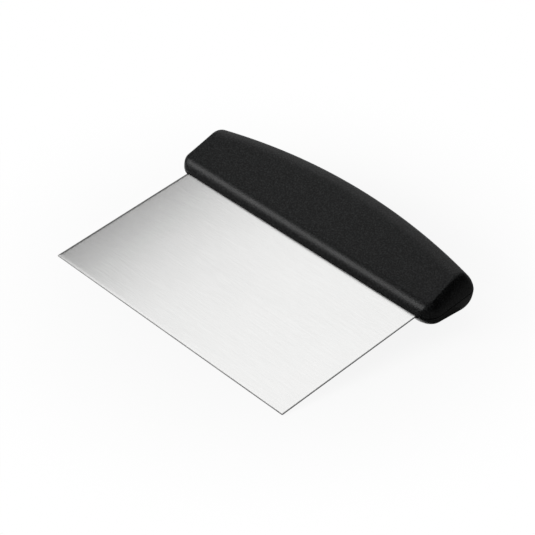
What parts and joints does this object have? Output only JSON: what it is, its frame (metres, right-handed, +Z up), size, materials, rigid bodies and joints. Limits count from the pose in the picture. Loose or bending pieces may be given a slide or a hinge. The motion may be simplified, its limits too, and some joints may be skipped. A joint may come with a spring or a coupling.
{
  "type": "dough scraper",
  "caption": "Flat steel blade clamped in an arched wedge handle of two moulded shells, for cutting dough and scraping a worktop.",
  "frame": {"origin": "middle of the footprint on the bench, with the tool lying on its working edge and the handle's back", "axes": "+X along the working edge, +Y from the working edge to the handle's back, +Z up from the bench"},
  "size_m": [0.165, 0.1186, 0.0258],
  "materials": {
    "stainless_steel": "satin",
    "black_plastic": "fine matt"
  },
  "bodies": {
    "root": {"blade": "stainless_steel", "upper_handle_half": "black_plastic", "lower_handle_half": "black_plastic"}
  },
  "joints": []
}
